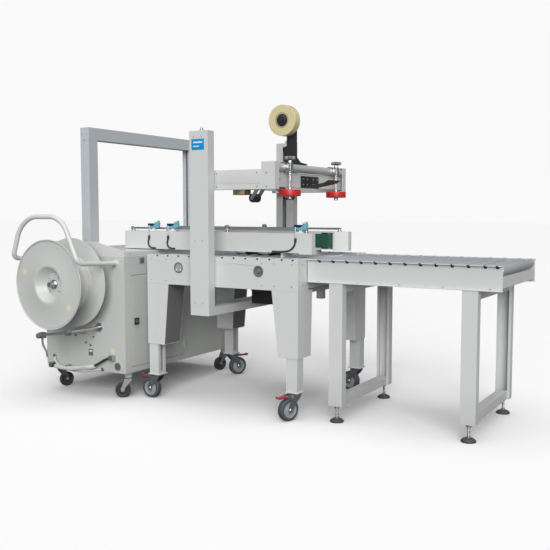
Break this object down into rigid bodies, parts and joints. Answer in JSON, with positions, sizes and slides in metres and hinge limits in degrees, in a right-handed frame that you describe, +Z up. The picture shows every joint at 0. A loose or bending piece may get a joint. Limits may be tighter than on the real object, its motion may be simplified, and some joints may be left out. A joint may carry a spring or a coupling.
{
  "type": "semi automatic carton sealing and strapping line",
  "caption": "Carton packing line: roller table, side belt sealer with lifting tape head, and arch strapping machine with strap reel, on casters.",
  "frame": {"origin": "centre of the bounding box at floor level", "axes": "+X against the carton's travel, towards the infeed roller table; +Y to the side without the strap reel; +Z up"},
  "size_m": [2.334, 1.2215, 1.447],
  "materials": {
    "warm_white_paint": "satin powder coat",
    "cabinet_paint": "satin powder coat",
    "cool_grey_paint": "satin",
    "black_steel": "satin black",
    "roller_steel": "brushed",
    "zinc_steel": "zinc plated",
    "red_rubber": "satin",
    "black_rubber": "matt",
    "green_belt": "matt",
    "tape_cream": "gloss film",
    "sensor_blue": "gloss",
    "strap_white": "semi matt strap",
    "grey_tyre": "matt",
    "cast_grey": "machined"
  },
  "bodies": {
    "line_frame": {"sealer_side_panels": "warm_white_paint", "sealer_crossbars": "black_steel", "sealer_leg_covers": "warm_white_paint", "sealer_leg_tubes": "warm_white_paint", "sealer_rollers": "roller_steel", "lower_tape_head": "black_steel", "masts": "warm_white_paint", "mast_tie_beam": "warm_white_paint", "cabinet_shell": "cabinet_paint", "bench_top": "warm_white_paint", "arch_uprights": "cool_grey_paint", "arch_top_beam": "cool_grey_paint", "strapping_head": "cast_grey", "reel_spindle": "zinc_steel", "guard_hoop": "warm_white_paint", "power_lead": "black_rubber", "table_side_rails": "warm_white_paint", "table_rollers": "roller_steel", "table_legs": "warm_white_paint", "table_feet": "black_rubber"},
    "lift_head": {"head_frame": "warm_white_paint", "head_cross_tube": "cool_grey_paint", "tape_head": "black_steel"},
    "front_tape_arm": {"tape_arm_front": "zinc_steel"},
    "rear_tape_arm": {"tape_arm_rear": "zinc_steel"},
    "tape_reel": {"tape_roll": "tape_cream"},
    "near_press": {"press_clamp_near": "zinc_steel"},
    "far_press": {"press_clamp_far": "zinc_steel"},
    "near_press_wheel": {"press_wheel_near": "red_rubber"},
    "far_press_wheel": {"press_wheel_far": "red_rubber"},
    "near_belt_unit": {"belt_housing_near": "warm_white_paint", "side_belt_near": "green_belt", "sensors": "sensor_blue", "sensor_cables": "black_rubber"},
    "far_belt_unit": {"belt_housing_far": "warm_white_paint", "side_belt_far": "green_belt"},
    "near_drive_drum": {"drive_drum_near": "zinc_steel"},
    "far_drive_drum": {"drive_drum_far": "zinc_steel"},
    "near_lead_screw": {"lead_screw_near": "zinc_steel"},
    "far_lead_screw": {"lead_screw_far": "zinc_steel"},
    "strap_reel": {"reel_flanges": "warm_white_paint", "strap_coil": "strap_white"},
    "door": {"cabinet_door": "cabinet_paint"},
    "strap_guide_arm": {"guide_arm": "black_steel"},
    "near_left_sealer_fork": {"sealer_caster_fork_near_left": "zinc_steel"},
    "near_left_sealer_wheel": {"sealer_caster_wheel_near_left": "grey_tyre"},
    "near_right_sealer_fork": {"sealer_caster_fork_near_right": "zinc_steel"},
    "near_right_sealer_wheel": {"sealer_caster_wheel_near_right": "grey_tyre"},
    "far_left_sealer_fork": {"sealer_caster_fork_far_left": "zinc_steel"},
    "far_left_sealer_wheel": {"sealer_caster_wheel_far_left": "grey_tyre"},
    "far_right_sealer_fork": {"sealer_caster_fork_far_right": "zinc_steel"},
    "far_right_sealer_wheel": {"sealer_caster_wheel_far_right": "grey_tyre"},
    "near_left_cabinet_fork": {"cabinet_caster_fork_near_left": "zinc_steel"},
    "near_left_cabinet_wheel": {"cabinet_caster_wheel_near_left": "black_rubber"},
    "near_right_cabinet_fork": {"cabinet_caster_fork_near_right": "zinc_steel"},
    "near_right_cabinet_wheel": {"cabinet_caster_wheel_near_right": "black_rubber"},
    "far_right_cabinet_fork": {"cabinet_caster_fork_far_right": "zinc_steel"},
    "far_right_cabinet_wheel": {"cabinet_caster_wheel_far_right": "black_rubber"},
    "far_left_cabinet_fork": {"cabinet_caster_fork_far_left": "zinc_steel"},
    "far_left_cabinet_wheel": {"cabinet_caster_wheel_far_left": "black_rubber"}
  },
  "joints": [
    {"name": "head_lift", "type": "slide", "parent": "line_frame", "child": "lift_head", "axis": [0, 0, 1], "range_m": [-0.09, 0.12]},
    {"name": "front_tape_arm_swing", "type": "hinge", "parent": "lift_head", "child": "front_tape_arm", "pos_m": [-0.032, 0.10775, 1.065], "axis": [0, 1, 0], "range_deg": [-18, 0], "stiffness_Nm_per_rad": 2, "springref_deg": 28.65},
    {"name": "rear_tape_arm_swing", "type": "hinge", "parent": "lift_head", "child": "rear_tape_arm", "pos_m": [-0.102, 0.10775, 1.065], "axis": [0, 1, 0], "range_deg": [0, 18]},
    {"name": "tape_reel_spin", "type": "hinge", "parent": "lift_head", "child": "tape_reel", "pos_m": [0.02, 0.10975, 1.372], "axis": [0, 1, 0], "continuous": true},
    {"name": "near_press_slide", "type": "slide", "parent": "lift_head", "child": "near_press", "axis": [0, 1, 0], "range_m": [-0.025, 0.09]},
    {"name": "far_press_slide", "type": "slide", "parent": "lift_head", "child": "far_press", "axis": [0, 1, 0], "range_m": [-0.09, 0.035]},
    {"name": "near_press_wheel_spin", "type": "hinge", "parent": "near_press", "child": "near_press_wheel", "pos_m": [0.19, -0.13125, 1.015], "axis": [0, 0, 1], "continuous": true},
    {"name": "far_press_wheel_spin", "type": "hinge", "parent": "far_press", "child": "far_press_wheel", "pos_m": [0.19, 0.33575, 1.015], "axis": [0, 0, 1], "continuous": true},
    {"name": "near_belt_slide", "type": "slide", "parent": "line_frame", "child": "near_belt_unit", "axis": [0, 1, 0], "range_m": [-0.11, 0.09]},
    {"name": "far_belt_slide", "type": "slide", "parent": "line_frame", "child": "far_belt_unit", "axis": [0, 1, 0], "range_m": [-0.09, 0.11]},
    {"name": "near_drive_drum_spin", "type": "hinge", "parent": "near_belt_unit", "child": "near_drive_drum", "pos_m": [-0.774, -0.04925, 0.785], "axis": [0, 0, 1], "continuous": true},
    {"name": "far_drive_drum_spin", "type": "hinge", "parent": "far_belt_unit", "child": "far_drive_drum", "pos_m": [-0.774, 0.26875, 0.785], "axis": [0, 0, 1], "continuous": true},
    {"name": "near_lead_screw_spin", "type": "hinge", "parent": "line_frame", "child": "near_lead_screw", "pos_m": [-0.192, -0.28125, 0.88], "axis": [0, 0, 1], "range_deg": [-3300, 4400]},
    {"name": "far_lead_screw_spin", "type": "hinge", "parent": "line_frame", "child": "far_lead_screw", "pos_m": [-0.192, 0.50075, 0.88], "axis": [0, 0, 1], "range_deg": [-3300, 4400]},
    {"name": "strap_reel_spin", "type": "hinge", "parent": "line_frame", "child": "strap_reel", "pos_m": [-0.894, -0.49925, 0.579], "axis": [0, 1, 0], "continuous": true},
    {"name": "door_swing", "type": "hinge", "parent": "line_frame", "child": "door", "pos_m": [-0.6175, 0.12575, 0.387], "axis": [0, 0, 1], "range_deg": [0, 7]},
    {"name": "guide_arm_swing", "type": "hinge", "parent": "line_frame", "child": "strap_guide_arm", "pos_m": [-0.792, -0.55325, 0.352], "axis": [0, 1, 0], "range_deg": [-25, 4]},
    {"name": "near_left_sealer_fork_swivel", "type": "hinge", "parent": "line_frame", "child": "near_left_sealer_fork", "pos_m": [-0.519, -0.21825, 0.11], "axis": [0, 0, 1], "continuous": true},
    {"name": "near_left_sealer_wheel_roll", "type": "hinge", "parent": "near_left_sealer_fork", "child": "near_left_sealer_wheel", "pos_m": [-0.557, -0.21825, 0.05], "axis": [0, -1, 0], "continuous": true},
    {"name": "near_right_sealer_fork_swivel", "type": "hinge", "parent": "line_frame", "child": "near_right_sealer_fork", "pos_m": [0.266, -0.21825, 0.11], "axis": [0, 0, 1], "continuous": true},
    {"name": "near_right_sealer_wheel_roll", "type": "hinge", "parent": "near_right_sealer_fork", "child": "near_right_sealer_wheel", "pos_m": [0.253, -0.25396, 0.05], "axis": [0.9397, -0.342, 0], "continuous": true},
    {"name": "far_left_sealer_fork_swivel", "type": "hinge", "parent": "line_frame", "child": "far_left_sealer_fork", "pos_m": [-0.519, 0.43775, 0.11], "axis": [0, 0, 1], "continuous": true},
    {"name": "far_left_sealer_wheel_roll", "type": "hinge", "parent": "far_left_sealer_fork", "child": "far_left_sealer_wheel", "pos_m": [-0.50116, 0.4713, 0.05], "axis": [-0.8829, 0.4695, 0], "continuous": true},
    {"name": "far_right_sealer_fork_swivel", "type": "hinge", "parent": "line_frame", "child": "far_right_sealer_fork", "pos_m": [0.266, 0.43775, 0.11], "axis": [0, 0, 1], "continuous": true},
    {"name": "far_right_sealer_wheel_roll", "type": "hinge", "parent": "far_right_sealer_fork", "child": "far_right_sealer_wheel", "pos_m": [0.22858, 0.44435, 0.05], "axis": [-0.1736, -0.9848, 0], "continuous": true},
    {"name": "near_left_cabinet_fork_swivel", "type": "hinge", "parent": "line_frame", "child": "near_left_cabinet_fork", "pos_m": [-1.132, -0.27425, 0.11], "axis": [0, 0, 1], "continuous": true},
    {"name": "near_left_cabinet_wheel_roll", "type": "hinge", "parent": "near_left_cabinet_fork", "child": "near_left_cabinet_wheel", "pos_m": [-1.12319, -0.24715, 0.0375], "axis": [-0.9511, 0.309, 0], "continuous": true},
    {"name": "near_right_cabinet_fork_swivel", "type": "hinge", "parent": "line_frame", "child": "near_right_cabinet_fork", "pos_m": [-0.657, -0.28025, 0.11], "axis": [0, 0, 1], "continuous": true},
    {"name": "near_right_cabinet_wheel_roll", "type": "hinge", "parent": "near_right_cabinet_fork", "child": "near_right_cabinet_wheel", "pos_m": [-0.68035, -0.2966, 0.0375], "axis": [0.5736, -0.8192, 0], "continuous": true},
    {"name": "far_right_cabinet_fork_swivel", "type": "hinge", "parent": "line_frame", "child": "far_right_cabinet_fork", "pos_m": [-0.647, 0.54575, 0.11], "axis": [0, 0, 1], "continuous": true},
    {"name": "far_right_cabinet_wheel_roll", "type": "hinge", "parent": "far_right_cabinet_fork", "child": "far_right_cabinet_wheel", "pos_m": [-0.65675, 0.51897, 0.0375], "axis": [0.9397, -0.342, 0], "continuous": true},
    {"name": "far_left_cabinet_fork_swivel", "type": "hinge", "parent": "line_frame", "child": "far_left_cabinet_fork", "pos_m": [-1.132, 0.54575, 0.11], "axis": [0, 0, 1], "continuous": true},
    {"name": "far_left_cabinet_wheel_roll", "type": "hinge", "parent": "far_left_cabinet_fork", "child": "far_left_cabinet_wheel", "pos_m": [-1.12462, 0.51822, 0.0375], "axis": [0.9659, 0.2588, 0], "continuous": true}
  ],
  "couplings": [
    {"joint": "rear_tape_arm_swing", "follows": "front_tape_arm_swing", "ratio": -1},
    {"joint": "far_belt_slide", "follows": "near_belt_slide", "ratio": -1},
    {"joint": "near_lead_screw_spin", "follows": "head_lift", "rad_per_m": 628.32},
    {"joint": "far_lead_screw_spin", "follows": "head_lift", "rad_per_m": 628.32}
  ]
}
